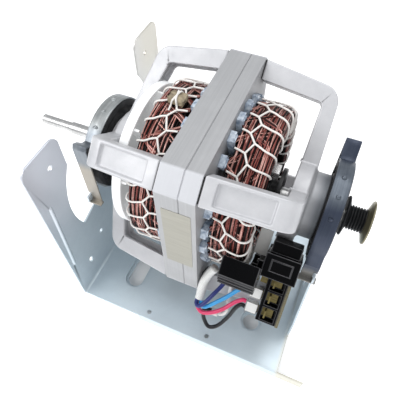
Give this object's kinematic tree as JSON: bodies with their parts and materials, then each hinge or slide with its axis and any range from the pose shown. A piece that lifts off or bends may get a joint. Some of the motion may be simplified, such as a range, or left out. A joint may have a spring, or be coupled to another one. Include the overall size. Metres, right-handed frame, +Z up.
{
  "type": "open-frame drive motor",
  "caption": "Open-frame split-phase drive motor in a cradle bracket, with a ribbed belt pulley, a threaded blower shaft, a cooling fan and a governor-worked start switch.",
  "frame": {"origin": "on the standing surface, under the middle of the motor's whole length and the motor axis", "axes": "+X along the motor axis to the pulley end, +Y to the back, +Z up"},
  "size_m": [0.2758, 0.182, 0.197],
  "materials": {
    "galvanised_bracket": "galvanised sheet, blue-grey, satin",
    "galvanised_strap": "galvanised strip, satin",
    "dark_strap": "blued spring strip, satin",
    "ring_rubber": "matt",
    "cast_aluminium": "die-cast, light satin",
    "adhesive": "matt black bond line",
    "lamination_steel": "punched laminations, satin",
    "liner_film": "pale blue film",
    "enamelled_copper": "dark red-brown enamel",
    "lacing_cord": "varnished white cord",
    "bearing_bronze": "sintered bronze",
    "felt": "oiled felt",
    "bright_steel": "ground or zinc plated",
    "bare_plate": "bare adhesive plate, no print",
    "rotor_steel": "dark steel",
    "fan_plastic": "moulded white",
    "black_plastic": "moulded black",
    "grey_plastic": "moulded grey",
    "black_steel": "black oxide",
    "passivated_steel": "olive passivated",
    "switch_moulding": "glossy black moulding",
    "lever_plastic": "pale grey moulding",
    "terminal_brass": "dull brass",
    "fibre_board": "tan fibre board",
    "cream_case": "cream case",
    "white_plastic": "moulded white",
    "white_sleeve": "woven glass sleeve",
    "blue_insulation": "sky blue insulation",
    "red_insulation": "pink-red insulation",
    "grey_insulation": "dark grey insulation",
    "navy_insulation": "navy insulation"
  },
  "bodies": {
    "stator": {"mounting_bracket": "galvanised_bracket", "left_clamp_strap": "galvanised_strap", "right_clamp_strap": "dark_strap", "left_mount_ring": "ring_rubber", "right_mount_ring": "ring_rubber", "left_end_frame": "cast_aluminium", "right_end_frame": "cast_aluminium", "frame_bond_pads": "adhesive", "stator_stack": "lamination_steel", "slot_liners": "liner_film", "stator_winding": "enamelled_copper", "left_winding_turns": "enamelled_copper", "right_winding_turns": "enamelled_copper", "left_lacing": "lacing_cord", "right_lacing": "lacing_cord", "left_bearing": "bearing_bronze", "right_bearing": "bearing_bronze", "left_oil_felt": "felt", "right_oil_felt": "felt", "left_felt_retainer": "bright_steel", "right_felt_retainer": "bright_steel", "rating_plate": "bare_plate", "switch_body": "switch_moulding", "switch_screws": "bright_steel", "lever_pin": "bright_steel", "terminal_block": "switch_moulding", "terminal_tabs": "terminal_brass", "terminal_board": "fibre_board", "thermal_protector": "cream_case", "flag_terminals": "white_plastic", "lead_sleeve": "white_sleeve", "lead_blue": "blue_insulation", "lead_red": "red_insulation", "lead_black": "grey_insulation", "lead_navy": "navy_insulation", "crimp_splice": "white_plastic", "lead_tail": "white_sleeve"},
    "rotor": {"shaft": "bright_steel", "rotor_core": "rotor_steel", "left_end_ring": "cast_aluminium", "right_end_ring": "cast_aluminium", "cooling_fan": "fan_plastic", "thrust_washers": "black_plastic", "drive_pulley": "black_steel", "pulley_flange": "passivated_steel", "governor_hub": "grey_plastic", "governor_spring": "bright_steel"},
    "collar": {"governor_collar": "black_plastic"},
    "weight_a": {"governor_weight_a": "rotor_steel"},
    "weight_b": {"governor_weight_b": "rotor_steel"},
    "lever": {"switch_lever": "lever_plastic"}
  },
  "joints": [
    {"name": "rotor_spin", "type": "hinge", "parent": "stator", "child": "rotor", "pos_m": [0, 0, 0.127], "axis": [1, 0, 0], "continuous": true},
    {"name": "governor_slide", "type": "slide", "parent": "rotor", "child": "collar", "axis": [1, 0, 0], "range_m": [0, 0.0035], "stiffness_N_per_m": 900, "springref_m": -0.001, "deforming": ["governor_spring"]},
    {"name": "weight_a_swing", "type": "hinge", "parent": "rotor", "child": "weight_a", "pos_m": [0.05875, 0, 0.149], "axis": [0, -1, 0], "range_deg": [0, 22]},
    {"name": "weight_b_swing", "type": "hinge", "parent": "rotor", "child": "weight_b", "pos_m": [0.05875, 0, 0.105], "axis": [0, 1, 0], "range_deg": [0, 22]},
    {"name": "lever_swing", "type": "hinge", "parent": "stator", "child": "lever", "pos_m": [0.07395, -0.04455, 0.10508], "axis": [0, 0.7071, -0.7071], "range_deg": [0, 6.5]}
  ],
  "couplings": [
    {"joint": "weight_a_swing", "follows": "governor_slide", "rad_per_m": 109.5},
    {"joint": "weight_b_swing", "follows": "governor_slide", "rad_per_m": 109.5},
    {"joint": "lever_swing", "follows": "governor_slide", "rad_per_m": 32.3}
  ]
}
